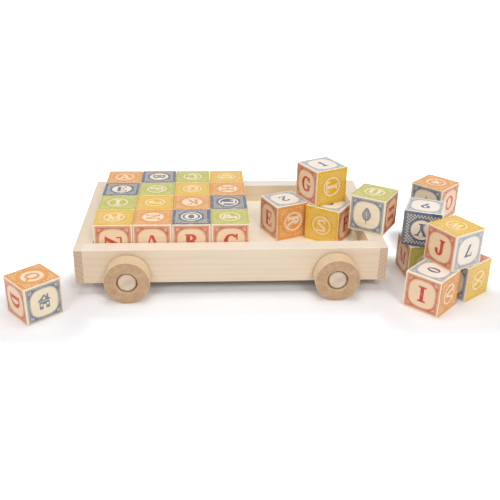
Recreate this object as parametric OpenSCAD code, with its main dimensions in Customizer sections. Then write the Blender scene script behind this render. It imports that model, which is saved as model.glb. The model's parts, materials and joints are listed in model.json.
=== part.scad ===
// Wooden alphabet block set with its wagon.
// Millimetres, +Z up. The set stands on z = 0, centred on its own outline.

/* [Blocks] */
// Edge length of one block
block_size = 44.45; // [38:0.05:51]
// Rounding of the block edges
block_edge = 0.8; // [0.5:0.1:4]
// Gap between stored blocks
block_gap = 0.45; // [0.35:0.05:2]
// Gap under a block that rests on another piece
seat_gap = 0.1; // [0.05:0.05:0.3]

/* [Tray] */
// Clearance between the stored blocks and the walls beside them
side_clear = 0.7; // [0.4:0.1:3]
// Length left over in the tray when it is full of blocks
spare_length = 5; // [2:0.5:20]
// Thickness of the walls
wall_t = 20; // [17:0.5:26]
// Height of the walls
wall_h = 41.5; // [38:0.5:55]
// Rounding of the wall edges
wall_ease = 0.6; // [0.5:0.1:3]
// Rounding of the tray's upright outer corners
corner_round = 2; // [1.5:0.5:6]
// Thickness of the end wall's tongue over each long wall's end
tongue_t = 10; // [7:0.5:14]
// Depth from the wall tops down to the floor panel
tray_depth = 22.4; // [15:0.1:26]
// Thickness of the floor panel
floor_t = 8; // [5:0.5:10]
// Depth of the grooves that hold the floor panel
groove_depth = 6; // [3:0.5:8]
// Play of the floor panel in its grooves, on each side
groove_play = 0.15; // [0.1:0.05:0.5]

/* [Wheels] */
// Diameter of the wheels
wheel_d = 51.5; // [42:0.5:60]
// Width of the wheels
wheel_w = 20.5; // [14:0.1:24]
// Rounding of the wheel rims
wheel_round = 1.5; // [1:0.5:6]
// Chamfer around the mouth of each wheel's counterbore
mouth_ease = 0.8; // [0.3:0.1:1.5]
// Gap between a wheel and the wall beside it
wheel_gap = 1.5; // [0.8:0.1:4]
// Distance between the front and rear axles, along the wagon
wheelbase = 238; // [200:1:260]
// Height of the axles above the walls' lower edges
axle_up = 10.75; // [8:0.25:12]

/* [Axle pegs] */
// Diameter of the peg shanks
peg_d = 10; // [8:0.5:13]
// Length of the shank inside the wall
peg_in = 12.5; // [8:0.5:13.5]
// Diameter of the peg heads
head_d = 20; // [16:0.5:24]
// Thickness of the peg heads
head_t = 6; // [3:0.5:8]
// Rounding of the peg heads
head_round = 2; // [0.5:0.25:2.5]
// Depth of the peg heads below the wheel's face
head_sunk = 0.4; // [0:0.1:2]
// Radial running clearance of a wheel on its peg
run_clear = 0.1; // [0.05:0.05:0.4]
// Radial clearance around a peg head in its counterbore
head_clear = 2.2; // [0.5:0.1:4]
// End play of a wheel on its peg
end_play = 0.4; // [0.2:0.1:1.5]
// Clearance of a peg in its glued hole, all round and at its end
glue_clear = 0.05; // [0.02:0.01:0.2]

/* [Hidden] */
$fn = 64;
// How far a cut runs past the surface that it opens
past = 1;

// Storage: rows of stored blocks, front row first, and the places that the tray's length has
STORED_NAMES = [
  ["block_m", "block_n", "block_o", "block_p"],
  ["block_i", "block_j", "block_k", "block_l"],
  ["block_e", "block_f", "block_g", "block_h"],
  ["block_a", "block_b", "block_c", "block_d"]
];
rows = len(STORED_NAMES);
columns = len(STORED_NAMES[0]);
places_long = 7;
pitch = block_size + block_gap;

// Tray
inner_l = places_long * pitch - block_gap + spare_length;
inner_w = rows * pitch - block_gap + 2 * side_clear;
tray_l = inner_l + 2 * wall_t;
tray_w = inner_w + 2 * wall_t;
axle_z = wheel_d / 2;
wall_bottom = axle_z - axle_up;
wall_top = wall_bottom + wall_h;
floor_top = wall_top - tray_depth;
stored_x = -inner_l / 2 + side_clear + block_size / 2;
stored_y = -inner_w / 2 + side_clear + block_size / 2;

// Wheels and pegs, with heights measured outwards from the wheel's inner face
bore_r = peg_d / 2 + run_clear;
sink_r = head_d / 2 + head_clear;
head_top = wheel_w - head_sunk;
head_base = head_top - head_t;
sink_base = head_base - end_play;
wheel_y = tray_w / 2 + wheel_gap;

// Colours
pale_wood = [0.91, 0.81, 0.69];
floor_wood = [0.95, 0.88, 0.78];
wheel_wood = [0.80, 0.65, 0.49];
peg_wood = [0.88, 0.77, 0.66];
yellow = [0.94, 0.80, 0.42];
orange = [0.91, 0.70, 0.43];
blue = [0.50, 0.57, 0.62];
green = [0.77, 0.77, 0.44];
FIELD_COLOURS = [yellow, orange, blue, green];

// Heights that blocks rest at
on_floor = 0;
on_block = block_size + seat_gap;
in_tray = floor_top + seat_gap;
on_tray_block = in_tray + on_block;
on_wall = wall_top + seat_gap;

// Points that the loose blocks are laid out from
free_end = [stored_x + columns * pitch - block_size / 2 - block_gap, 0];
end_wall_middle = [tray_l / 2 - wall_t / 2, 0];
front_left = [-tray_l / 2, -tray_w / 2];
front_right = [tray_l / 2, -tray_w / 2];

// A block is its name, centre, height of its base, turn and colour.
// Offsets of the loose blocks are in block sizes, so that the piles hold at any size.
function stored_block(row, column) = [
  STORED_NAMES[row][column],
  [stored_x + column * pitch, stored_y + row * pitch],
  in_tray,
  0,
  FIELD_COLOURS[(column + rows - row) % len(FIELD_COLOURS)]
];
function loose_block(name, from, offset, base, turn, tone) = [
  name,
  from + block_size * offset,
  base,
  turn,
  tone
];
STORED = [for (row = [0:rows - 1], column = [0:columns - 1]) stored_block(row, column)];
LOOSE = [
  loose_block("block_q", front_left, [-0.87, -0.81], on_floor, -49, orange),
  loose_block("block_r", free_end, [1.08, -0.31], in_tray, -66, orange),
  loose_block("block_s", free_end, [2.315, -0.63], in_tray, -35, yellow),
  loose_block("block_t", free_end, [2.085, -0.26], on_tray_block, -63, yellow),
  loose_block("block_u", end_wall_middle, [0.07, -1.10], on_wall, -33, green),
  loose_block("block_v", front_right, [1.00, -0.76], on_floor, -45, orange),
  loose_block("block_w", front_right, [1.60, -0.25], on_block, -61, yellow),
  loose_block("block_x", front_right, [2.04, -0.02], on_floor, -53, yellow),
  loose_block("block_y", front_right, [1.17, 1.04], on_block, -22, blue),
  loose_block("block_z", front_right, [1.21, 1.09], on_floor, -85, green),
  loose_block("block_star", front_right, [1.97, 2.80], on_block, -46, orange),
  loose_block("block_moon", front_right, [1.97, 2.80], on_floor, -38, blue)
];
BLOCKS = concat(STORED, LOOSE);

// A wheel station is its name and its sides: -1 or 1 along the wagon, then across it
STATIONS = [
  ["front_left", -1, -1],
  ["front_right", 1, -1],
  ["back_left", -1, 1],
  ["back_right", 1, 1]
];

// Outline of the whole set, which the origin is centred under
function reach(turn) = (block_size / 2 - block_edge) * (abs(cos(turn)) + abs(sin(turn))) + block_edge;
low_x = min([for (b = BLOCKS) b[1].x - reach(b[3]), -tray_l / 2]);
high_x = max([for (b = BLOCKS) b[1].x + reach(b[3]), tray_l / 2]);
low_y = min([for (b = BLOCKS) b[1].y - reach(b[3]), -wheel_y - wheel_w]);
high_y = max([for (b = BLOCKS) b[1].y + reach(b[3]), wheel_y + wheel_w]);
set_shift = -[(low_x + high_x) / 2, (low_y + high_y) / 2, 0];

// Rectangle with rounded corners, from the origin
module rounded_rect(w, h, r) {
  translate([r, 0])
    square([w - 2 * r, h]);
  translate([0, r])
    square([w, h - 2 * r]);
  for (x = [r, w - r], y = [r, h - r])
    translate([x, y])
      circle(r);
}

// Lays an outline drawn in width and height along X
module along_x(length)
  rotate([90, 0, 90])
    linear_extrude(length)
      children();

// Lays an outline drawn in width and height along Y
module along_y(length)
  translate([0, length, 0])
    rotate([90, 0, 0])
      linear_extrude(length)
        children();

// Stands a turned piece at a wheel station, with its axis pointing outwards
module at_station(s)
  translate(set_shift + [s[1] * wheelbase / 2, s[2] * wheel_y, axle_z])
    rotate([s[2] * -90, 0, 0])
      children();

// Groove for the floor panel, along X from the origin, opening towards +Y
module floor_groove(length)
  translate([-past, -groove_depth, floor_top - floor_t - groove_play])
    cube([length + 2 * past, groove_depth + past, floor_t + 2 * groove_play]);

module floor_panel() {
  panel_l = inner_l + 2 * (groove_depth - groove_play);
  panel_w = inner_w + 2 * (groove_depth - groove_play);
  color(floor_wood)
    translate(set_shift + [-panel_l / 2, -panel_w / 2, floor_top - floor_t])
      cube([panel_l, panel_w, floor_t]);
}

// side is -1 for the front wall and 1 for the back wall
module long_wall(side) {
  length = tray_l - 2 * tongue_t;
  color(pale_wood)
    translate(set_shift)
      mirror([0, side > 0 ? 1 : 0, 0])
        translate([-length / 2, -tray_w / 2, 0])
          difference() {
            translate([0, 0, wall_bottom])
              along_x(length)
                rounded_rect(wall_t, wall_h, wall_ease);
            translate([0, wall_t, 0])
              floor_groove(length);
            for (x = [-1, 1] * wheelbase / 2)
              translate([length / 2 + x, -past, axle_z])
                rotate([-90, 0, 0])
                  cylinder(r = peg_d / 2 + glue_clear, h = past + peg_in + glue_clear);
          }
}

// side is -1 for the left wall and 1 for the right wall
module end_wall(side) {
  color(pale_wood)
    translate(set_shift)
      mirror([side > 0 ? 1 : 0, 0, 0])
        translate([-tray_l / 2, -tray_w / 2, 0])
          difference() {
            translate([0, 0, wall_bottom])
              intersection() {
                along_y(tray_w)
                  rounded_rect(wall_t, wall_h, wall_ease);
                along_x(wall_t)
                  rounded_rect(tray_w, wall_h, wall_ease);
                linear_extrude(wall_h)
                  rounded_rect(tray_l, tray_w, corner_round);
              }
            for (y = [-past, tray_w - wall_t])
              translate([tongue_t, y, wall_bottom - past])
                cube([wall_t, wall_t + past, wall_h + 2 * past]);
            translate([wall_t, tray_w, 0])
              rotate([0, 0, -90])
                floor_groove(tray_w);
          }
}

module wheel(station)
  color(wheel_wood)
    at_station(station)
      rotate_extrude()
        difference() {
          translate([-wheel_d / 2, 0])
            rounded_rect(wheel_d, wheel_w, wheel_round);
          translate([-wheel_d, -past])
            square([wheel_d + bore_r, wheel_w + 2 * past]);
          translate([0, sink_base])
            square([sink_r, wheel_w]);
          polygon([
            [sink_r - past, wheel_w - mouth_ease - past],
            [sink_r + mouth_ease + past, wheel_w + past],
            [sink_r - past, wheel_w + past]
          ]);
        }

// A headed peg: the head is rounded on its outer face only
module axle_peg(station)
  color(peg_wood)
    at_station(station)
      rotate_extrude()
        difference() {
          union() {
            translate([-head_d / 2, head_base])
              rounded_rect(head_d, head_t, head_round);
            translate([0, head_base])
              square([head_d / 2, head_t / 2]);
            translate([0, -wheel_gap - peg_in])
              square([peg_d / 2, wheel_gap + peg_in + head_base + past]);
          }
          translate([-head_d, -wheel_gap - peg_in - past])
            square([head_d, wheel_w + wheel_gap + peg_in + 2 * past]);
        }

module block(b)
  color(b[4])
    translate(set_shift + [b[1].x, b[1].y, b[2]])
      rotate([0, 0, b[3]])
        translate([-block_size / 2, -block_size / 2, 0])
          intersection() {
            linear_extrude(block_size)
              rounded_rect(block_size, block_size, block_edge);
            along_x(block_size)
              rounded_rect(block_size, block_size, block_edge);
            along_y(block_size)
              rounded_rect(block_size, block_size, block_edge);
          }

floor_panel();
long_wall(-1);  // long_wall_front
long_wall(1);  // long_wall_back
end_wall(-1);  // end_wall_left
end_wall(1);  // end_wall_right
for (s = STATIONS) {
  wheel(s);
  axle_peg(s);
}
for (b = BLOCKS) {
  block(b);
}
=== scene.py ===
import json
import math
from collections import namedtuple

import bmesh
import bpy
from bpy.props import FloatProperty, FloatVectorProperty, PointerProperty
from mathutils import Matrix, Vector
from mathutils.geometry import delaunay_2d_cdt


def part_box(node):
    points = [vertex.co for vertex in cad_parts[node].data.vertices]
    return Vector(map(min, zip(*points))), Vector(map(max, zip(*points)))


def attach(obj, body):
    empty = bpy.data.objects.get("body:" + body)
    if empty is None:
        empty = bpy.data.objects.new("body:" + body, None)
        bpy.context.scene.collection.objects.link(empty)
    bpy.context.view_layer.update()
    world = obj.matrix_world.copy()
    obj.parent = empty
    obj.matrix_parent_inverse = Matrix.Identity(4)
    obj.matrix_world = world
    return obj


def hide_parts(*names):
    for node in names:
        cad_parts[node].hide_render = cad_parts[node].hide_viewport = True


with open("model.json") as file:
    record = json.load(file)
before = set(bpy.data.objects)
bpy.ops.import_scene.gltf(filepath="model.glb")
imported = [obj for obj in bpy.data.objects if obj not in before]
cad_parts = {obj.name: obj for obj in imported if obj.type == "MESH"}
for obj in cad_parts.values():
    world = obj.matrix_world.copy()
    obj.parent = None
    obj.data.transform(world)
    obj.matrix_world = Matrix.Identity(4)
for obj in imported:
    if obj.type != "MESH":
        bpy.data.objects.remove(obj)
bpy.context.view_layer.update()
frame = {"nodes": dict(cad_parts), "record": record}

bl_info = {
    "name": "Alphabet Block Wagon",
    "version": (1, 0, 0),
    "blender": (4, 5, 0),
    "location": "View3D > Sidebar > Blocks",
    "description": "Finishes the alphabet block set: printed blocks, tray, wheels, pegs and a studio stage",
    "category": "Object",
}

MM = 0.001

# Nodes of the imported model, by kind
WALLS = ("long_wall_front", "long_wall_back", "end_wall_left", "end_wall_right")
FLOOR = "floor_panel"
WHEELS = tuple(sorted(n for n in frame["nodes"] if n.startswith("wheel_")))
PEGS = tuple(sorted(n for n in frame["nodes"] if n.startswith("axle_peg_")))
BLOCKS = tuple(n for n in frame["nodes"] if n.startswith("block_"))
SLOT_OF = {part["node"]: part["material_slot"] for part in frame["record"]["subparts"]}

# Groups of nodes that stand on the floor
STANDING = (WALLS + WHEELS, ("block_q",))
STACKS = (("block_v", "block_w", "block_x"), ("block_y", "block_z"), ("block_star", "block_moon"))

# A face's directions: right and up as seen from outside, then outwards
X, Y, Z = Vector((1, 0, 0)), Vector((0, 1, 0)), Vector((0, 0, 1))
FACES = {
    "top": (X, Y, Z),
    "front": (X, Z, -Y),
    "right": (Y, Z, X),
    "bottom": (X, -Y, -Z),
    "back": (-X, Z, Y),
    "left": (-Y, Z, -X),
}

# What is printed on top, front and right. The other three faces follow from OPPOSITE.
# A reversed block has a bare medal with its letter in the field colour.
OPPOSITE = {"colour": "colour", "letter": "letter", "number": "picture", "picture": "number"}
STORED_PRINTS = ("colour", "letter", "number")
REVERSED = ("block_b", "block_e", "block_h", "block_k", "block_n", "block_q", "block_y", "block_z")
LOOSE_PRINTS = {
    "block_q": ("colour", "letter", "picture"),
    "block_r": ("number", "letter", "colour"),
    "block_s": ("number", "colour", "letter"),
    "block_t": ("number", "letter", "colour"),
    "block_u": ("colour", "picture", "letter"),
    "block_v": ("number", "letter", "colour"),
    "block_w": ("colour", "letter", "number"),
    "block_x": ("letter", "picture", "colour"),
    "block_y": ("number", "colour", "letter"),
    "block_z": ("number", "letter", "colour"),
    "block_star": ("colour", "picture", "letter"),
}
ALPHABET = "ABCDEFGHIJKLMNOPQRSTUVWXYZ"
SIGNS = "0123456789+-x/="

# Where the letters, signs and pictures start, and their steps
LETTER_START, LETTER_STEP = 13, 6
SIGN_START, SIGN_STEP = 3, 7
PICTURE_START, PICTURE_STEP = 1, 3

# Print sizes in millimetres, from the middle of a face
FRAME_OUT, FRAME_LINE_OUT, FRAME_LINE_IN = 20.2, 19.5, 19.1
FRAME_MARGIN = 0.7
FIELD_HALF, FIELD_POWER, FIELD_POINTS = 16.8, 2.9, 56
INNER_LINE_OUT, INNER_LINE_IN = 16.2, 15.9
LETTER_TALL, SIGN_TALL, MEDAL_TALL = 19.5, 15.0, 16.0
MEDAL_OUT, MEDAL_IN, MEDAL_CLEAR, MEDAL_POINTS = 12.2, 10.5, 0.8, 44
BEAD_RING, BEAD_RADIUS, BEAD_CLEAR, BEADS = 14.0, 0.72, 1.6, 24
LATTICE_HALF = 20.6
PRINT_SLIP = 0.3
STAR_GROW, STAR_WAIST = 2.2, 4.6
MOON_SHIFT, MOON_RADIUS, MOON_BITE, MOON_BITE_SHIFT = 0.1, 0.5, 0.42, 0.26
ARC_STEP = 9.0
WELD = 1e-4
CORNER_REACH = 10 * WELD

# Ornaments of a frame in millimetres: leaves in each corner as (lean in degrees, reach), a spot, and beads
CORNER_LEAVES = ((-32, 2.8), (0, 3.2), (32, 2.8))
LEAF_ROOT, LEAF_LONG, LEAF_WIDE = 17.4, 1.3, 0.42
SPOT_PLACE, SPOT_RADIUS = 17.2, 0.55
EDGE_BEADS, EDGE_BEAD_GAP, EDGE_BEAD_OUT, EDGE_BEAD_RADIUS = 4, 2.0, 18.0, 0.36
TO_MIDDLE = 225

# How far the lattice of each field colour is thinned towards the bare ground
PALE_SHARE = {"yellow": 0.42, "orange": 0.6, "green": 0.55, "blue": 0.85}
# How far the engraved wood of each field colour is stained by its ink
STAIN_SHARE = {"yellow": 0.2, "orange": 0.12, "green": 0.14, "blue": 0.04}

# Boards: the way of the grain, the pith's place in metres, and the share of a painted highlight that whitens
# their level faces, standing in for the sheen of light on them
Board = namedtuple("Board", "axis pith planed")
BOARDS = {
    "long_wall_front": Board(X, (0.0, 0.055, -0.035), 0.65),
    "long_wall_back": Board(X, (0.3, 0.075, -0.035), 1.0),
    "end_wall_left": Board(Y, (0.0, 0.03, 0.048), 0.0),
    "end_wall_right": Board(Y, (0.2, 0.03, -0.042), 0.4),
    FLOOR: Board(X, (0.1, 0.02, 0.06), 0.0),
}
FLOOR_RINGS = 1.6

# Turned pieces: the rings' gap, strength and share in end grain, the gap of the tool lines,
# and the pith's place in metres with its step from piece to piece
Turning = namedtuple("Turning", "ring_gap rings ends line_gap pith pith_step")
WHEEL_TURNING = Turning(1.9 * MM, 0.2, 0.8, 2.8 * MM, (0.0, 0.03, 0.018), (0.05, 0.012, -0.015))
PEG_TURNING = Turning(1.8 * MM, 0.25, 0.4, 1.1 * MM, (0.0, 0.011, 0.006), (0.04, 0.0, -0.004))

# How deep the front of a thing is, and the distances where the floor starts to be white and is white,
# from the fronts and from the whole things
FRONT_DEPTH = 30 * MM
WHITE_FROM_FRONT = (16 * MM, 115 * MM)
WHITE_FROM_THING = (0.0, 40 * MM)

# The stage in metres: half the floor's width, its drop under the set, and each lamp's place and width
FLOOR_HALF, FLOOR_DROP = 6.0, 0.05 * MM
LAMP_AIM = (0.0, 0.0, 0.05)
LAMPS = {
    "right": ((1.5, -0.1, 0.9), 0.8),
    "left": ((-1.5, -0.1, 0.9), 0.8),
    "front_right": ((0.75, -2.0, 1.72), 0.75),
    "front_left": ((-0.9, -2.0, 1.72), 0.75),
    "overhead": ((0.0, 0.0, 1.75), 0.9),
}
WHITE = (1.0, 1.0, 1.0, 1.0)
SENSOR_WIDTH, CLIP_START = 36.0, 0.01

# One layer of a face. A height of None is a slope between its neighbours.
Layer = namedtuple("Layer", "finish outlines height")


def srgb(red, green, blue):
    """Linear colour of an 8-bit screen colour."""
    def linear(value):
        share = value / 255
        return share / 12.92 if share <= 0.04045 else ((share + 0.055) / 1.055) ** 2.4
    return linear(red), linear(green), linear(blue)


def colour_value(label, about, tone):
    """A colour that a user may change."""
    return FloatVectorProperty(
        name=label, description=about, subtype="COLOR", size=3, min=0, max=1, default=srgb(*tone)
    )


def length_value(label, about, millimetres):
    """A length that a user may change."""
    return FloatProperty(name=label, description=about, unit="LENGTH", min=0, default=millimetres * MM)


def angle_value(label, about, degrees):
    """An angle that a user may change."""
    return FloatProperty(name=label, description=about, subtype="ANGLE", default=math.radians(degrees))


def watts_value(label, where, watts):
    """A lamp's power that a user may change."""
    return FloatProperty(name=label, description="Watts of the lamp " + where, min=0, default=watts)


class BlockFinish(bpy.types.PropertyGroup):
    """Sizes and inks of the printed blocks"""
    edge: length_value("Edge rounding", "Radius of the blocks' edges", 0.8)
    depth: length_value("Engraving", "Depth of the engraved letters and rings", 0.45)
    slope: length_value("Engraving slope", "Width of the slope around an engraved shape", 0.22)
    wood: colour_value("Wood", "Bare wood on the blocks' edges", (250, 234, 212))
    wood_dark: colour_value("Dark wood", "Late rings in the blocks' wood", (222, 194, 156))
    peach: colour_value("Letter ground", "Ground of the letter faces", (244, 215, 178))
    chalk: colour_value("Number ground", "Ground of the number faces", (248, 237, 222))
    cream: colour_value("Picture ground", "Ground of the picture faces", (244, 229, 200))
    yellow: colour_value("Yellow", "Yellow field ink", (230, 183, 14))
    orange: colour_value("Orange", "Orange field ink", (228, 154, 70))
    green: colour_value("Green", "Green field ink", (189, 189, 82))
    blue: colour_value("Blue", "Blue field ink", (80, 102, 128))
    red: colour_value("Red frame", "Ink of the frames around letters", (202, 112, 82))
    letter: colour_value("Red letter", "Ink of the letters", (204, 62, 36))
    slate: colour_value("Slate", "Ink of the pictures and their frames", (118, 128, 142))
    sky: colour_value("Sky", "Ink of the frames around numbers", (166, 172, 179))
    navy: colour_value("Navy", "Ink of the numbers", (88, 102, 130))


class WagonFinish(bpy.types.PropertyGroup):
    """Woods of the wagon"""
    wall: colour_value("Wall", "Early wood of the walls", (234, 215, 189))
    wall_dark: colour_value("Wall rings", "Late wood of the walls", (213, 183, 147))
    floor: colour_value("Floor panel", "Early wood of the floor panel", (254, 244, 224))
    floor_dark: colour_value("Floor rings", "Late wood of the floor panel", (246, 227, 198))
    wheel: colour_value("Wheel", "Early wood of the wheels", (228, 200, 162))
    wheel_dark: colour_value("Wheel rings", "Late wood of the wheels", (194, 149, 107))
    peg: colour_value("Peg", "Early wood of the pegs", (240, 224, 203))
    peg_dark: colour_value("Peg rings", "Late wood of the pegs", (212, 184, 156))
    ring_gap: length_value("Ring gap", "Distance between growth rings in the walls", 5.0)


class StageLook(bpy.types.PropertyGroup):
    """Camera, lamps and floor"""
    camera_place: FloatVectorProperty(
        name="Camera place", description="Where the camera stands", subtype="TRANSLATION", size=3,
        default=(-0.05664, -0.82393, 0.41584),
    )
    pitch: angle_value("Pitch", "How far the camera looks down", 26.04)
    yaw: angle_value("Yaw", "How far the camera looks right", 3.917)
    roll: angle_value("Roll", "How far the camera leans", 1.12)
    lens: FloatProperty(name="Lens", description="Focal length in millimetres", min=10, default=52.05)
    floor: colour_value("Floor", "The surface that the set stands on", (246, 246, 248))
    right: watts_value("Right lamp", "on the right", 4.5)
    left: watts_value("Left lamp", "on the left", 5.0)
    front_right: watts_value("Front right lamp", "in front, to the right", 21.0)
    front_left: watts_value("Front left lamp", "in front, to the left", 12.5)
    overhead: watts_value("Overhead lamp", "above", 10.5)
    daylight: FloatProperty(name="Room light", description="Strength of the even light", min=0, default=0.21)


# Outlines in millimetres, as lists of (x, y)


def rectangle(x0, y0, x1, y1):
    """A rectangle between two corners."""
    return [(x0, y0), (x1, y0), (x1, y1), (x0, y1)]


def square(half):
    """A square around the origin."""
    return rectangle(-half, -half, half, half)


def on_round(cx, cy, rx, ry, angle):
    """A point on an upright ellipse, at an angle in radians."""
    return cx + rx * math.cos(angle), cy + ry * math.sin(angle)


def ellipse(cx, cy, rx, ry, turn, points):
    """An ellipse, turned by degrees."""
    cos_t, sin_t = math.cos(math.radians(turn)), math.sin(math.radians(turn))
    made = []
    for i in range(points):
        x, y = on_round(0, 0, rx, ry, 2 * math.pi * i / points)
        made.append((cx + x * cos_t - y * sin_t, cy + x * sin_t + y * cos_t))
    return made


def disc(cx, cy, radius, points):
    """A circle."""
    return ellipse(cx, cy, radius, radius, 0.0, points)


def squircle(half):
    """A square with full round corners, as a superellipse."""
    made = []
    for i in range(FIELD_POINTS):
        angle = 2 * math.pi * (i + 0.5) / FIELD_POINTS
        c, s = math.cos(angle), math.sin(angle)
        made.append((
            half * math.copysign(abs(c) ** (2 / FIELD_POWER), c),
            half * math.copysign(abs(s) ** (2 / FIELD_POWER), s),
        ))
    return made


def burst(cx, cy, outer, inner, points):
    """A star with straight points, the first one up."""
    made = []
    for i in range(2 * points):
        radius = inner if i % 2 else outer
        made.append(on_round(cx, cy, radius, radius, math.radians(90 + 180 * i / points)))
    return made


def crescent(cx, cy, radius, bite, shift):
    """A moon: a circle less another circle that is shifted to the right."""
    along = (radius ** 2 - bite ** 2 + shift ** 2) / (2 * shift)
    out_angle = math.acos(along / radius)
    in_angle = math.acos((along - shift) / bite)
    made = []
    steps = 18
    for i in range(steps + 1):
        angle = out_angle + (2 * math.pi - 2 * out_angle) * i / steps
        made.append(on_round(cx, cy, radius, radius, angle))
    for i in range(1, steps):
        angle = 2 * math.pi - in_angle - (2 * math.pi - 2 * in_angle) * i / steps
        made.append(on_round(cx + shift, cy, bite, bite, angle))
    return made


def turned(outline, quarter_turns):
    """An outline turned about the origin by quarter turns."""
    for _ in range(quarter_turns % 4):
        outline = [(-y, x) for x, y in outline]
    return outline


def moved(outline, dx, dy):
    """An outline shifted by dx and dy."""
    return [(x + dx, y + dy) for x, y in outline]


# Strokes of the capitals, digits and signs, for a height of 1

STEM, HAIR, SLAB = 0.24, 0.12, 0.11


def bar(x0, y0, x1, y1):
    """An upright rectangle."""
    return "bar", x0, y0, x1, y1


def stem(x, y0=0.0, y1=1.0, width=STEM):
    """A thick upright stroke."""
    return bar(x - width / 2, y0, x + width / 2, y1)


def foot(x, width):
    """A slab serif on the base line."""
    return bar(x - width / 2, 0.0, x + width / 2, SLAB)


def cap(x, width):
    """A slab serif under the cap line."""
    return bar(x - width / 2, 1.0 - SLAB, x + width / 2, 1.0)


def slant(x0, y0, x1, y1, width):
    """A sloping stroke with level ends, from below to above."""
    return "slant", x0, y0, x1, y1, width


def bow(cx, cy, rx, ry, start, end):
    """Part of a ring that is thick at its sides and thin above and below."""
    return "bow", cx, cy, rx, ry, start, end


def ball(cx, cy, radius):
    """A round end or point."""
    return "ball", cx, cy, radius


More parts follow.
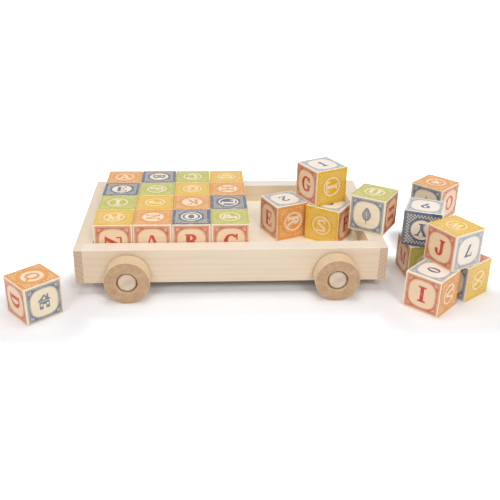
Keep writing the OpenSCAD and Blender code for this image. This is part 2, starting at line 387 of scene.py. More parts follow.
GLYPHS = {
    "A": (slant(0.13, 0, 0.46, 1, 0.12), slant(0.86, 0, 0.5, 1, 0.22), bar(0.24, 0.26, 0.72, 0.36),
          foot(0.13, 0.34), foot(0.86, 0.4)),
    "B": (stem(0.2), bow(0.36, 0.755, 0.34, 0.245, -90, 90), bow(0.38, 0.28, 0.39, 0.28, -90, 90),
          bar(0.02, 0.9, 0.37, 1), bar(0.2, 0.46, 0.38, 0.6), bar(0.02, 0, 0.39, 0.1)),
    "C": (bow(0.46, 0.5, 0.45, 0.5, 38, 322), bar(0.73, 0.63, 0.83, 1)),
    "D": (stem(0.2), bow(0.36, 0.5, 0.48, 0.5, -90, 90), bar(0.02, 0.9, 0.37, 1), bar(0.02, 0, 0.37, 0.1)),
    "E": (stem(0.2), bar(0.02, 0, 0.78, 0.1), bar(0.02, 0.9, 0.74, 1), bar(0.2, 0.46, 0.56, 0.55),
          bar(0.68, 0, 0.78, 0.31), bar(0.64, 0.7, 0.74, 1), bar(0.49, 0.36, 0.58, 0.65)),
    "F": (stem(0.2), foot(0.2, 0.46), bar(0.0, 0.9, 0.74, 1), bar(0.2, 0.46, 0.56, 0.55),
          bar(0.64, 0.68, 0.74, 1), bar(0.49, 0.36, 0.58, 0.65)),
    "G": (bow(0.46, 0.5, 0.45, 0.5, 38, 330), bar(0.73, 0.66, 0.83, 1), stem(0.74, 0.1, 0.46, 0.2),
          bar(0.52, 0.4, 0.94, 0.49)),
    "H": (stem(0.2), stem(0.8), bar(0.2, 0.45, 0.8, 0.55), foot(0.2, 0.4), foot(0.8, 0.4), cap(0.2, 0.4),
          cap(0.8, 0.4)),
    "I": (stem(0.24, 0, 1, 0.23), foot(0.24, 0.5), cap(0.24, 0.5)),
    "J": (stem(0.5, 0.28, 1), bow(0.31, 0.29, 0.295, 0.29, 180, 360), ball(0.13, 0.32, 0.12), cap(0.5, 0.42)),
    "K": (stem(0.2), slant(0.26, 0.36, 0.7, 1, 0.13), slant(0.8, 0, 0.4, 0.62, 0.24), foot(0.2, 0.4),
          cap(0.2, 0.4), foot(0.82, 0.38), cap(0.72, 0.36)),
    "L": (stem(0.2), bar(0.0, 0, 0.76, 0.1), bar(0.66, 0, 0.76, 0.34), cap(0.2, 0.44)),
    "M": (stem(0.16, 0, 1, 0.12), stem(0.96), slant(0.55, 0, 0.19, 1, 0.22), slant(0.55, 0, 0.92, 1, 0.12),
          foot(0.16, 0.34), foot(0.96, 0.4), cap(0.13, 0.28), cap(0.99, 0.34)),
    "N": (stem(0.16, 0, 1, 0.12), stem(0.8, 0, 1, 0.12), slant(0.78, 0, 0.18, 1, 0.22), foot(0.16, 0.36),
          cap(0.12, 0.3), cap(0.8, 0.36)),
    "O": (bow(0.48, 0.5, 0.48, 0.5, 0, 360),),
    "P": (stem(0.2), bow(0.36, 0.71, 0.38, 0.29, -90, 90), bar(0.02, 0.9, 0.37, 1),
          bar(0.2, 0.42, 0.37, 0.52), foot(0.2, 0.44)),
    "Q": (bow(0.48, 0.5, 0.48, 0.5, 0, 360), slant(0.86, -0.12, 0.56, 0.24, 0.22)),
    "R": (stem(0.2), bow(0.36, 0.74, 0.35, 0.26, -90, 90), bar(0.02, 0.9, 0.37, 1),
          bar(0.2, 0.48, 0.38, 0.58), slant(0.76, 0, 0.44, 0.54, 0.23), foot(0.2, 0.38), foot(0.82, 0.28)),
    "S": (bow(0.42, 0.735, 0.36, 0.265, 40, 270), bow(0.42, 0.265, 0.39, 0.265, -140, 90),
          slant(0.62, 0.34, 0.22, 0.66, 0.3), bar(0.64, 0.68, 0.74, 1), bar(0.05, 0, 0.15, 0.32)),
    "T": (stem(0.42), bar(0, 0.9, 0.84, 1), bar(0, 0.68, 0.1, 1), bar(0.74, 0.68, 0.84, 1), foot(0.42, 0.46)),
    "U": (stem(0.2, 0.3), stem(0.76, 0.3), bow(0.48, 0.3, 0.385, 0.3, 180, 360), cap(0.2, 0.4),
          cap(0.76, 0.38)),
    "V": (slant(0.46, 0, 0.15, 1, 0.22), slant(0.5, 0, 0.82, 1, 0.12), cap(0.15, 0.4), cap(0.82, 0.34)),
    "W": (slant(0.33, 0, 0.13, 1, 0.19), slant(0.37, 0, 0.58, 1, 0.1), slant(0.8, 0, 0.58, 1, 0.19),
          slant(0.84, 0, 1.04, 1, 0.1), cap(0.13, 0.34), cap(0.58, 0.32), cap(1.04, 0.3)),
    "X": (slant(0.77, 0, 0.18, 1, 0.23), slant(0.15, 0, 0.74, 1, 0.12), foot(0.15, 0.34), foot(0.78, 0.38),
          cap(0.18, 0.38), cap(0.74, 0.34)),
    "Y": (slant(0.46, 0.4, 0.16, 1, 0.22), slant(0.46, 0.4, 0.78, 1, 0.12), stem(0.46, 0, 0.5),
          foot(0.46, 0.46), cap(0.16, 0.38), cap(0.78, 0.34)),
    "Z": (bar(0.04, 0.9, 0.78, 1), bar(0.02, 0, 0.8, 0.1), slant(0.15, 0.04, 0.66, 0.96, 0.26),
          bar(0.04, 0.69, 0.14, 1), bar(0.7, 0, 0.8, 0.32)),
    "0": (bow(0.38, 0.5, 0.38, 0.5, 0, 360),),
    "1": (stem(0.32), slant(0.07, 0.72, 0.3, 1, 0.14), foot(0.32, 0.56)),
    "2": (bow(0.38, 0.7, 0.36, 0.3, -20, 170), slant(0.16, 0.04, 0.6, 0.62, 0.22), bar(0.04, 0, 0.76, 0.11),
          bar(0.67, 0, 0.76, 0.28)),
    "3": (bow(0.36, 0.745, 0.34, 0.255, -90, 150), bow(0.36, 0.28, 0.38, 0.28, -150, 90),
          bar(0.26, 0.46, 0.4, 0.58)),
    "4": (stem(0.54), bar(0, 0.24, 0.8, 0.34), slant(0.07, 0.26, 0.48, 1, 0.14), foot(0.54, 0.42)),
    "5": (bar(0.12, 0.88, 0.7, 1), bar(0.12, 0.48, 0.22, 1), bow(0.36, 0.31, 0.37, 0.31, -150, 120)),
    "6": (bow(0.38, 0.31, 0.37, 0.31, 0, 360), slant(0.12, 0.32, 0.56, 1, 0.22)),
    "7": (bar(0.04, 0.87, 0.76, 1), slant(0.28, 0, 0.64, 0.92, 0.22), bar(0.04, 0.68, 0.13, 1)),
    "8": (bow(0.38, 0.745, 0.32, 0.255, 0, 360), bow(0.38, 0.28, 0.38, 0.28, 0, 360)),
    "9": (bow(0.38, 0.69, 0.37, 0.31, 0, 360), slant(0.2, 0, 0.64, 0.68, 0.22)),
    "+": (bar(0.05, 0.42, 0.85, 0.58), bar(0.37, 0.1, 0.53, 0.9)),
    "-": (bar(0.08, 0.42, 0.82, 0.58),),
    "x": (slant(0.72, 0.18, 0.14, 0.82, 0.23), slant(0.14, 0.18, 0.72, 0.82, 0.23)),
    "/": (bar(0.05, 0.43, 0.85, 0.57), ball(0.45, 0.8, 0.11), ball(0.45, 0.2, 0.11)),
    "=": (bar(0.08, 0.56, 0.82, 0.7), bar(0.08, 0.3, 0.82, 0.44)),
}


def stroke_outlines(stroke, grow):
    """Outlines of one stroke, made larger all round by grow."""
    kind, sizes = stroke[0], stroke[1:]
    if kind == "bar":
        x0, y0, x1, y1 = sizes
        return [rectangle(x0 - grow, y0 - grow, x1 + grow, y1 + grow)]
    if kind == "slant":
        x0, y0, x1, y1, width = sizes
        lean = (x1 - x0) / (y1 - y0)
        half = width / 2 + grow * math.sqrt(1 + lean ** 2)
        x0, x1 = x0 - lean * grow, x1 + lean * grow
        y0, y1 = y0 - grow, y1 + grow
        return [[(x0 - half, y0), (x0 + half, y0), (x1 + half, y1), (x1 - half, y1)]]
    if kind == "ball":
        cx, cy, radius = sizes
        return [disc(cx, cy, radius + grow, 16)]
    cx, cy, rx, ry, start, end = sizes
    if end - start < 360:
        spread = math.degrees(grow / rx)
        start, end = start - spread, end + spread
    pieces = math.ceil((end - start) / 180)
    made = []
    for piece in range(pieces):
        first = start + (end - start) * piece / pieces
        last = start + (end - start) * (piece + 1) / pieces
        steps = max(2, round((last - first) / ARC_STEP))
        angles = [math.radians(first + (last - first) * i / steps) for i in range(steps + 1)]
        outside = [on_round(cx, cy, rx + grow, ry + grow, a) for a in angles]
        thin_x, thin_y = rx - STEM - grow, ry - HAIR - grow
        inside = [on_round(cx, cy, thin_x, thin_y, a) for a in reversed(angles)]
        made.append(outside + inside)
    return made


def symbol_outlines(symbol, tall, grow, quarter_turns):
    """Outlines in millimetres of a letter, digit, sign, star or moon, centred on the origin."""
    if symbol == "star":
        scale = 1 + STAR_GROW * grow / (tall / 2)
        made = [burst(0, 0, scale * tall / 2, scale * tall / STAR_WAIST, 5)]
    elif symbol == "moon":
        radius, bite = MOON_RADIUS * tall + grow, MOON_BITE * tall - grow
        made = [crescent(MOON_SHIFT * tall, 0, radius, bite, MOON_BITE_SHIFT * tall)]
    else:
        strokes = GLYPHS[symbol]
        plain = [p for s in strokes for o in stroke_outlines(s, 0.0) for p in o]
        wide = max(p[0] for p in plain) - min(p[0] for p in plain)
        scale = tall / max(1.0, wide)
        mid_x = (max(p[0] for p in plain) + min(p[0] for p in plain)) / 2
        made = [
            [((x - mid_x) * scale, (y - 0.5) * scale) for x, y in outline]
            for s in strokes
            for outline in stroke_outlines(s, grow / scale)
        ]
    return [turned(outline, quarter_turns) for outline in made]


# Small pictures, each a list of (in ink or not, outlines)


def heart(cx, cy, size):
    """A heart of about size across."""
    made = []
    for i in range(32):
        t = 2 * math.pi * i / 32
        x = 16 * math.sin(t) ** 3
        y = 13 * math.cos(t) - 5 * math.cos(2 * t) - 2 * math.cos(3 * t) - math.cos(4 * t)
        made.append((cx + x * size / 32, cy + (y + 2) * size / 32))
    return made[::-1]


def petals(count, distance, rx, ry):
    """Ellipses set around the origin."""
    made = []
    for i in range(count):
        angle = 360 * i / count
        x, y = on_round(0, 0, distance, distance, math.radians(angle))
        made.append(ellipse(x, y, rx, ry, angle, 18))
    return made


def picture_sun():
    """A sun with rays."""
    return [
        (True, [burst(0, 0, 10.2, 6.2, 16)]),
        (False, [disc(0, 0, 5.8, 28)]),
        (True, [disc(0, 0, 5.0, 28)]),
        (False, [disc(0, 0, 3.0, 22)]),
        (True, [disc(0, 0, 2.0, 18)]),
    ]


def picture_flower():
    """A flower from above."""
    return [
        (True, petals(8, 6.0, 4.2, 2.3)),
        (False, petals(8, 6.4, 2.2, 0.5)),
        (False, [disc(0, 0, 3.4, 24)]),
        (True, [disc(0, 0, 2.6, 22)]),
    ]


def picture_heart():
    """A heart in a heart."""
    return [(True, [heart(0, 0, 19)]), (False, [heart(0, 0.2, 14.5)]), (True, [heart(0, 0.4, 11.5)])]


def picture_leaf():
    """A leaf with its veins."""
    veins = [[(-0.25, -6.5), (0.25, -6.5), (0.2, 8), (-0.2, 8)]]
    for side in (-1, 1):
        for y in (-3.6, -0.6, 2.4):
            veins.append([(0, y - 0.3), (side * 4.2, y + 2.5), (side * 4.2, y + 2.9), (0, y + 0.3)][::side])
    blade = [(0, -8), (3.6, -5.4), (5.6, -1.6), (5.2, 2.6), (3, 6.8), (0, 10)]
    whole = blade + [(-x, y) for x, y in reversed(blade[1:-1])]
    return [(True, [whole, [(-0.5, -11), (0.5, -11), (0.4, -7.5), (-0.4, -7.5)]]), (False, veins)]


def picture_tree():
    """A fir tree."""
    tiers = [[(-w, y), (w, y), (0, y + 7)] for w, y in ((7.4, -6.5), (6.0, -2.2), (4.4, 2.2))]
    return [(True, tiers + [rectangle(-1.1, -10, 1.1, -6)])]


def picture_boat():
    """A sailing boat on waves."""
    waves = [ellipse(x, -9.2, 2.6, 0.7, 0, 14) for x in (-6.2, 0, 6.2)]
    return [(True, waves + [
        [(-8.4, -3.4), (-5.4, -7.4), (5.4, -7.4), (8.4, -3.4)],
        rectangle(-0.4, -3.0, 0.4, 9.6),
        [(1.1, -2.2), (7.2, -2.2), (1.1, 8.6)],
        [(-1.1, -2.2), (-1.1, 6.6), (-5.6, -2.2)],
    ])]


def picture_kite():
    """A kite with a tail."""
    tail = [ellipse(x, y, 1.3, 0.6, 35, 12) for x, y in ((-0.8, -7.4), (0.9, -8.8), (-0.7, -10.2))]
    return [
        (True, tail + [[(0, -6.2), (5.6, 3.2), (0, 9.8), (-5.6, 3.2)]]),
        (False, [rectangle(-0.25, -6, 0.25, 9.5), rectangle(-5.4, 3, 5.4, 3.5)]),
    ]


def picture_clover():
    """A clover of three hearts."""
    blades = []
    for i in range(3):
        angle = math.radians(120 * i)
        c, s = math.cos(angle), math.sin(angle)
        blades.append([(x * c - y * s, x * s + y * c + 1.4) for x, y in heart(0, 5.0, 8.6)])
    stalk = [(-0.5, -10), (0.6, -10), (0.35, 0), (-0.35, 0)]
    return [(True, blades + [stalk]), (False, [disc(0, 1.4, 0.9, 12)])]


def picture_night():
    """A moon and three stars."""
    return [(True, [
        crescent(-1.2, 0, 8.6, 7.0, 4.4), burst(4.6, 4.4, 2.4, 1.0, 5), burst(2.2, -1.6, 1.8, 0.75, 5),
        burst(6.4, -3.4, 2.0, 0.85, 5),
    ])]


def picture_house():
    """A small house."""
    return [
        (True, [
            rectangle(-6, -8, 6, 1), [(-8.2, 1.6), (8.2, 1.6), (0, 9.4)], rectangle(3.4, 4, 5.2, 9),
        ]),
        (False, [
            rectangle(-1.6, -8, 1.6, -2.6), rectangle(-4.8, -4.4, -2.6, -1.6),
            rectangle(2.6, -4.4, 4.8, -1.6), disc(0, 4.4, 1.4, 14),
        ]),
    ]


PICTURES = (
    picture_sun, picture_leaf, picture_boat, picture_flower, picture_night, picture_tree, picture_heart,
    picture_kite, picture_clover, picture_house,
)


# Layers of the four kinds of printed face


def lattice(motif, pitch, clear):
    """Small shapes in staggered rows, outside a circle of radius clear. The motif is a list of outlines."""
    made = []
    rows = int(LATTICE_HALF / pitch)
    for row in range(-2 * rows, 2 * rows + 1):
        for column in range(-rows - 1, rows + 1):
            x = (column + (0.5 if row % 2 else 0.0)) * pitch
            y = row * pitch / 2
            if max(abs(x), abs(y)) > LATTICE_HALF - pitch / 2 or math.hypot(x, y) < clear + pitch / 2:
                continue
            made.extend(moved(outline, x, y) for outline in motif)
    return made


# Motif, pitch and whether there is a ring of beads, by field colour
LATTICE_MOTIFS = {
    "yellow": ([ellipse(0, 0, 1.75, 0.62, turn, 12) for turn in (45, 135)], 4.4, False),
    "orange": ([disc(0, 0, 1.2, 10)], 4.4, True),
    "blue": ([[(1.25, 0), (0, 1.25), (-1.25, 0), (0, -1.25)]], 3.9, False),
    "green": ([ellipse(0, 0, 1.8, 0.85, 55, 12)], 4.4, True),
}


def medal(finish, radius, height):
    """A round layer in the middle of a face."""
    return Layer(finish, [disc(0, 0, radius, MEDAL_POINTS)], height)


def coloured_face(tone, symbol, reverse, quarter_turns, depth, slope):
    """Layers of a coloured field with an engraved ring and symbol."""
    motif, pitch, beaded = LATTICE_MOTIFS[tone]
    clear = BEAD_RING + BEAD_CLEAR if beaded else MEDAL_OUT + MEDAL_CLEAR
    layers = [Layer("pale", lattice(motif, pitch, clear), 0.0)]
    if beaded:
        beads = [
            disc(*on_round(0, 0, BEAD_RING, BEAD_RING, 2 * math.pi * i / BEADS), BEAD_RADIUS, 8)
            for i in range(BEADS)
        ]
        layers.append(Layer("pale", beads, 0.0))
    layers += [medal("groove", MEDAL_OUT + slope, None), medal("groove", MEDAL_OUT, -depth)]
    grown = symbol_outlines(symbol, MEDAL_TALL, slope, quarter_turns)
    plain = symbol_outlines(symbol, MEDAL_TALL, 0.0, quarter_turns)
    if reverse:
        return layers + [Layer("groove", grown, None), Layer("field", plain, 0.0)]
    layers += [medal("groove", MEDAL_IN, None), medal("field", MEDAL_IN - slope, 0.0)]
    return layers + [Layer("groove", grown, None), Layer("groove", plain, -depth)]


def frame_ornaments(beaded):
    """Leaves and a spot for each corner of a frame, and beads along its sides if it is beaded."""
    made = []
    for quarter in range(4):
        side = []
        for lean, reach in CORNER_LEAVES:
            x, y = on_round(LEAF_ROOT, LEAF_ROOT, reach, reach, math.radians(TO_MIDDLE + lean))
            side.append(ellipse(x, y, LEAF_LONG, LEAF_WIDE, TO_MIDDLE + lean, 12))
        side.append(disc(SPOT_PLACE, SPOT_PLACE, SPOT_RADIUS, 10))
        if beaded:
            for place in range(-EDGE_BEADS, EDGE_BEADS + 1):
                side.append(disc(EDGE_BEAD_GAP * place, EDGE_BEAD_OUT, EDGE_BEAD_RADIUS, 6))
        made.extend(turned(outline, quarter) for outline in side)
    return made


def framed_face(ink, ground, beaded):
    """Layers of a frame with filled corners around a bare field."""
    return [
        Layer(ground, [square(FRAME_OUT + FRAME_MARGIN)], 0.0),
        Layer(ink, [square(FRAME_OUT)], 0.0),
        Layer(ground, [square(FRAME_LINE_OUT)], 0.0),
        Layer(ink, [square(FRAME_LINE_IN)], 0.0),
        Layer(ground, frame_ornaments(beaded), 0.0),
        Layer(ground, [squircle(FIELD_HALF)], 0.0),
        Layer(ink, [squircle(INNER_LINE_OUT)], 0.0),
        Layer(ground, [squircle(INNER_LINE_IN)], 0.0),
    ]


def letter_face(symbol, quarter_turns):
    """Layers of a red letter in its frame."""
    sign = Layer("letter", symbol_outlines(symbol, LETTER_TALL, 0.0, quarter_turns), 0.0)
    return framed_face("red", "peach", True) + [sign]


def number_face(symbol, quarter_turns):
    """Layers of a digit or sign in its frame."""
    sign = Layer("navy", symbol_outlines(symbol, SIGN_TALL, 0.0, quarter_turns), 0.0)
    return framed_face("sky", "chalk", False) + [sign]


def picture_face(picture):
    """Layers of a small picture in its frame."""
    layers = framed_face("slate", "cream", True)
    for inked, outlines in picture():
        layers.append(Layer("slate" if inked else "cream", outlines, 0.0))
    return layers


def anticlockwise(outline):
    """The outline, turned over if it runs clockwise."""
    area = sum(x0 * y1 - x1 * y0 for (x0, y0), (x1, y1) in zip(outline, outline[1:] + outline[:1]))
    return outline if area > 0 else outline[::-1]


def cut_face(layers):
    """Cuts a face along its layers' outlines. Returns points with heights, and triangles with finishes."""
    points, loops, owner = [], [], []
    for level, layer in enumerate(layers):
        for outline in layer.outlines:
            first = len(points)
            points.extend(Vector(p) for p in anticlockwise(outline))
            loops.append(list(range(first, len(points))))
            owner.append(level)
    places, _, triangles, _, _, sources = delaunay_2d_cdt(points, [], loops, 1, WELD)
    tops = [max(owner[s] for s in source) for source in sources]
    heights = {}
    for triangle, top in zip(triangles, tops):
        level = layers[top].height
        if level is None:
            continue
        for corner in triangle:
            heights[corner] = min(level, heights.get(corner, level))
    spots = [(p[0], p[1], heights.get(i, 0.0)) for i, p in enumerate(places)]
    return spots, [(tuple(t), layers[top].finish) for t, top in zip(triangles, tops)]


# Shader nodes

# Bumps per metre of each noise along X, Y and Z. The grain runs along X.
WANDER_NOISE = (3.0, 22.0, 22.0)
FIBRE_NOISE = (45.0, 1100.0, 1100.0)
PORE_NOISE = (110.0, 2400.0, 2400.0)
CLOUD_NOISE = (9.0, 40.0, 40.0)
WEAR_NOISE = (160.0, 160.0, 160.0)
INK_FIBRE_NOISE = (60.0, 1200.0, 1200.0)
INK_CLOUD_NOISE = (120.0, 120.0, 120.0)
TOOL_NOISE = (50.0, 50.0, 50.0)
RAY_NOISE = (16.0, 16.0, 16.0)
MOTTLE_NOISE = (130.0, 30.0, 130.0)
PAPER_NOISE = (300.0, 300.0, 300.0)

# Where a mask starts and where it is full
PORE_STEP = (0.62, 0.74)
SPECK_STEP = (0.34, 0.66)
WEAR_STEP = (0.3, 0.6)
THIN_STEP = (0.35, 0.75)
BARE_STEP = (0.86, 1.02)
RAY_STEP = (0.5, 0.72)
MOTTLE_STEP = (0.35, 0.7)
END_STEP = (0.55, 0.95)

# Wood: how far the rings wander, and shares of its marks in tone, end grain, roughness and height
RING_WANDER = 2.6
CLOUD_TONE, PORE_TONE = 0.5, 0.35
RING_END, SPECK_END, PLAIN_END = 0.22, 0.42, 0.39
FIBRE_ROUGH, WOOD_ROUGH = 0.22, 0.36
RING_HEIGHT, FIBRE_HEIGHT, PORE_HEIGHT = 0.35, 0.6, 0.5
END_SHADE = (0.8, 0.79, 0.82)

# Ink: shares of edges and clouds in what is bare, cover lost where thin or bare, roughness, height and wear
EDGE_BARE, CLOUD_BARE = 0.45, 0.25
THIN_LOSS, BARE_LOSS = 0.12, 0.8
BARE_ROUGH, INK_ROUGH = 0.16, 0.38
INK_FIBRE_HEIGHT, BARE_HEIGHT = 0.5, -0.6
INK_WEAR = 0.1

# Boards: rings, fibres, the worn edges' width, and how their colour and roughness differ
BOARD_RINGS, BOARD_FIBRES = 0.2, 0.3
BOARD_WEAR, WORN_TINT, WORN_SHARE, WORN_ROUGH = 1.6 * MM, 1.12, 0.5, 0.1
# How much whiter the painted highlight on a board's level faces is, in red, green and blue
PAINTED_SHEEN_TINT = (1.06, 1.17, 1.36)

# Turned pieces: fibres on faces and sides, wander of tool lines, spread of rays, and shares of the marks
FACE_FIBRES, SIDE_FIBRES = 1.1, 0.25
TOOL_WANDER, RAY_SPREAD = 1.5, 5.0
TOOL_HEIGHT, TOOL_SHARE, RAY_SHARE, MOTTLE_SHARE = 0.3, 0.3, 0.5, 0.33
MOTTLE_SHADE = (0.72, 0.68, 0.64)

# Blocks: rings, fibres and worn edges
BLOCK_RING_GAP, BLOCK_RINGS, BLOCK_FIBRES = 2.6 * MM, 0.16, 0.22
BLOCK_WEAR, BLOCK_WORN_SHARE = 1.4 * MM, 0.06

# Clear coat, bump strength and bump depth by kind of surface
Surface = namedtuple("Surface", "coat bump depth")
BOARD_SURFACE = Surface(0.6, 0.2, 0.15 * MM)
TURNED_SURFACE = Surface(0.2, 0.25, 0.15 * MM)
GROUND_SURFACE = Surface(0.2, 0.15, 0.1 * MM)
INK_SURFACE = Surface(0.05, 0.15, 0.1 * MM)
SPECULAR, COAT_ROUGH = 0.4, 0.4
PAPER_ROUGH, PAPER_SPECULAR, PAPER_SPECKS = 0.9, 0.1, 0.03
PAPER_SPECK_COLOUR = (0.8, 0.8, 0.8, 1.0)


class Tree:
    """Short calls for laying nodes in one tree."""

    def __init__(self, tree):
        self.tree = tree

    def feed(self, socket, value):
        """Links a socket or sets its value."""
        if isinstance(value, bpy.types.NodeSocket):
            self.tree.links.new(value, socket)
        else:
            socket.default_value = value

    def add(self, kind, inputs=None, **settings):
        """Adds a node with settings and inputs."""
        node = self.tree.nodes.new(kind)
        for name, value in settings.items():
            setattr(node, name, value)
        for key, value in (inputs or {}).items():
            self.feed(node.inputs[key], value)
        return node

    def group(self, tree, inputs):
        """Places a node group."""
        return self.add("ShaderNodeGroup", inputs, node_tree=tree).outputs

    def math(self, operation, *values, clamp=False):
        """A number worked out from others."""
        node = self.add("ShaderNodeMath", dict(enumerate(values)), operation=operation, use_clamp=clamp)
        return node.outputs[0]

    def vector(self, operation, *values):
        """A vector, or its length, worked out from others."""
        node = self.add("ShaderNodeVectorMath", dict(enumerate(values)), operation=operation)
        return node.outputs["Value" if operation in ("LENGTH", "DOT_PRODUCT") else "Vector"]

    def blend(self, share, first, second):
        """A mix of two colours."""
        return self.add("ShaderNodeMix", {0: share, 6: first, 7: second}, data_type="RGBA").outputs[2]

    def noise(self, place, stretch, detail=2.0):
        """Noise of so many bumps per metre along each axis."""
        scaled = self.vector("MULTIPLY", place, stretch)
        node = self.add("ShaderNodeTexNoise", {"Vector": scaled, "Scale": 1.0, "Detail": detail})
        return node.outputs["Fac"]

    def step(self, value, low, high):
        """A smooth step from 0 at low to 1 at high."""
        inputs = {"Value": value, "From Min": low, "From Max": high}
        return self.add("ShaderNodeMapRange", inputs, interpolation_type="SMOOTHSTEP").outputs["Result"]


def new_group(name, inputs, outputs):
    """A shader node group with named sockets. Returns its tree, inputs and outputs."""
    made = bpy.data.node_groups.new(name, "ShaderNodeTree")
    for way, sockets in (("INPUT", inputs), ("OUTPUT", outputs)):
        for label, kind in sockets:
            made.interface.new_socket(label, in_out=way, socket_type="NodeSocket" + kind)
    tree = Tree(made)
    return tree, tree.add("NodeGroupInput").outputs, tree.add("NodeGroupOutput").inputs


SURFACE_OUTPUTS = (("Color", "Color"), ("Roughness", "Float"), ("Height", "Float"))


def wood_grain_group():
    """Rings, fibres and pores of wood whose grain runs along X, with its pith on that axis."""
    inputs = (
        ("Vector", "Vector"), ("Early", "Color"), ("Late", "Color"), ("Ring Gap", "Float"),
        ("Rings", "Float"), ("Fibres", "Float"), ("End", "Float"),
    )
    tree, given, made = new_group("Wood Grain", inputs, SURFACE_OUTPUTS)
    place = given["Vector"]
    radius = tree.vector("LENGTH", tree.vector("MULTIPLY", place, (0.0, 1.0, 1.0)))
    wander = tree.noise(place, WANDER_NOISE)
    turns = tree.math("MULTIPLY_ADD", wander, RING_WANDER, tree.math("DIVIDE", radius, given["Ring Gap"]))
    wave = tree.math("SINE", tree.math("MULTIPLY", turns, 2 * math.pi))
    ring = tree.math("POWER", tree.math("MULTIPLY_ADD", wave, 0.5, 0.5), 2.0)
    fibre = tree.noise(place, FIBRE_NOISE)
    pore = tree.step(tree.noise(place, PORE_NOISE, 1.0), *PORE_STEP)
    cloud = tree.noise(place, CLOUD_NOISE)
    tone = tree.math("MULTIPLY", ring, given["Rings"])
    tone = tree.math("MULTIPLY_ADD", tree.math("SUBTRACT", fibre, 0.5), given["Fibres"], tone)
    tone = tree.math("MULTIPLY_ADD", tree.math("SUBTRACT", cloud, 0.5), CLOUD_TONE, tone)
    pores = tree.math("MULTIPLY", given["Fibres"], PORE_TONE)
    tone = tree.math("MULTIPLY_ADD", pore, pores, tone, clamp=True)
    colour = tree.blend(tone, given["Early"], given["Late"])
    speck = tree.math("MULTIPLY_ADD", tree.step(fibre, *SPECK_STEP), SPECK_END, PLAIN_END)
    speckled = tree.math("MULTIPLY_ADD", ring, RING_END, speck)
    end = tree.math("MULTIPLY", given["End"], speckled, clamp=True)
    tree.feed(made["Color"], tree.blend(end, colour, tree.vector("MULTIPLY", given["Late"], END_SHADE)))
    tree.feed(made["Roughness"], tree.math("MULTIPLY_ADD", fibre, FIBRE_ROUGH, WOOD_ROUGH))
    height = tree.math("MULTIPLY_ADD", ring, RING_HEIGHT, tree.math("MULTIPLY", fibre, FIBRE_HEIGHT))
    tree.feed(made["Height"], tree.math("SUBTRACT", height, tree.math("MULTIPLY", pore, PORE_HEIGHT)))
    return tree.tree


def edge_wear_group():
    """How near a point of a box is to its edges. The box is centred on the origin."""
    inputs = (("Vector", "Vector"), ("Half", "Vector"), ("Width", "Float"))
    tree, given, made = new_group("Edge Wear", inputs, [("Mask", "Float")])
    inwards = tree.vector("SUBTRACT", given["Half"], tree.vector("ABSOLUTE", given["Vector"]))
    parts = tree.add("ShaderNodeSeparateXYZ", {0: inwards}).outputs
    near = [tree.step(part, given["Width"], 0.0) for part in parts]
    total = tree.math("ADD", tree.math("ADD", near[0], near[1]), near[2])
    edge = tree.math("SUBTRACT", total, 1.0, clamp=True)
    uneven = tree.noise(given["Vector"], WEAR_NOISE, 3.0)
    tree.feed(made["Mask"], tree.math("MULTIPLY", edge, tree.step(uneven, *WEAR_STEP)))
    return tree.tree


def ink_group():
    """Ink on wood, thinner in places and missing from pores and worn edges."""
    inputs = (("Vector", "Vector"), ("Ink", "Color"), ("Wood", "Color"), ("Wear", "Float"), ("Edge", "Float"))
    tree, given, made = new_group("Printed Ink", inputs, SURFACE_OUTPUTS)
    place = given["Vector"]
    fibre = tree.noise(place, INK_FIBRE_NOISE)
    cloud = tree.noise(place, INK_CLOUD_NOISE)
    missing = tree.math("MULTIPLY_ADD", given["Edge"], EDGE_BARE, fibre)
    missing = tree.math("MULTIPLY_ADD", tree.math("SUBTRACT", cloud, 0.5), CLOUD_BARE, missing)
    bare = tree.step(missing, *(tree.math("SUBTRACT", limit, given["Wear"]) for limit in BARE_STEP))
    thin = tree.math("MULTIPLY", tree.step(cloud, *THIN_STEP), THIN_LOSS)
    ink = tree.blend(thin, given["Ink"], given["Wood"])
    tree.feed(made["Color"], tree.blend(tree.math("MULTIPLY", bare, BARE_LOSS), ink, given["Wood"]))
    tree.feed(made["Roughness"], tree.math("MULTIPLY_ADD", bare, BARE_ROUGH, INK_ROUGH))
    sunk = tree.math("MULTIPLY", bare, BARE_HEIGHT)
    tree.feed(made["Height"], tree.math("MULTIPLY_ADD", fibre, INK_FIBRE_HEIGHT, sunk))
    return tree.tree


def turning_group():
    """Faint tool lines around the Y axis of a turned piece, and rays out from that axis."""
    inputs = (("Vector", "Vector"), ("Pitch", "Float"))
    tree, given, made = new_group("Turning Marks", inputs, [("Mask", "Float"), ("Rays", "Float")])
    flat = tree.vector("MULTIPLY", given["Vector"], (1.0, 0.0, 1.0))
    radius = tree.vector("LENGTH", flat)
    wander = tree.noise(given["Vector"], TOOL_NOISE)
    turns = tree.math("MULTIPLY_ADD", wander, TOOL_WANDER, tree.math("DIVIDE", radius, given["Pitch"]))
    wave = tree.math("SINE", tree.math("MULTIPLY", turns, 2 * math.pi))
    tree.feed(made["Mask"], tree.math("MULTIPLY_ADD", wave, 0.5, 0.5))
    outwards = tree.add("ShaderNodeCombineXYZ", {1: tree.math("MULTIPLY", radius, RAY_SPREAD)}).outputs[0]
    around = tree.vector("ADD", tree.vector("NORMALIZE", flat), outwards)
    tree.feed(made["Rays"], tree.step(tree.noise(around, RAY_NOISE), *RAY_STEP))
    return tree.tree


def shared_group(make):
    """The group that a function makes, made once."""
    name = make.__name__
    found = [g for g in bpy.data.node_groups if g.get("made_by") == name]
    if found:
        return found[0]
    made = make()
    made["made_by"] = name
    return made


def rgba(colour):
    """A colour with full cover."""
    return (*colour, 1.0)


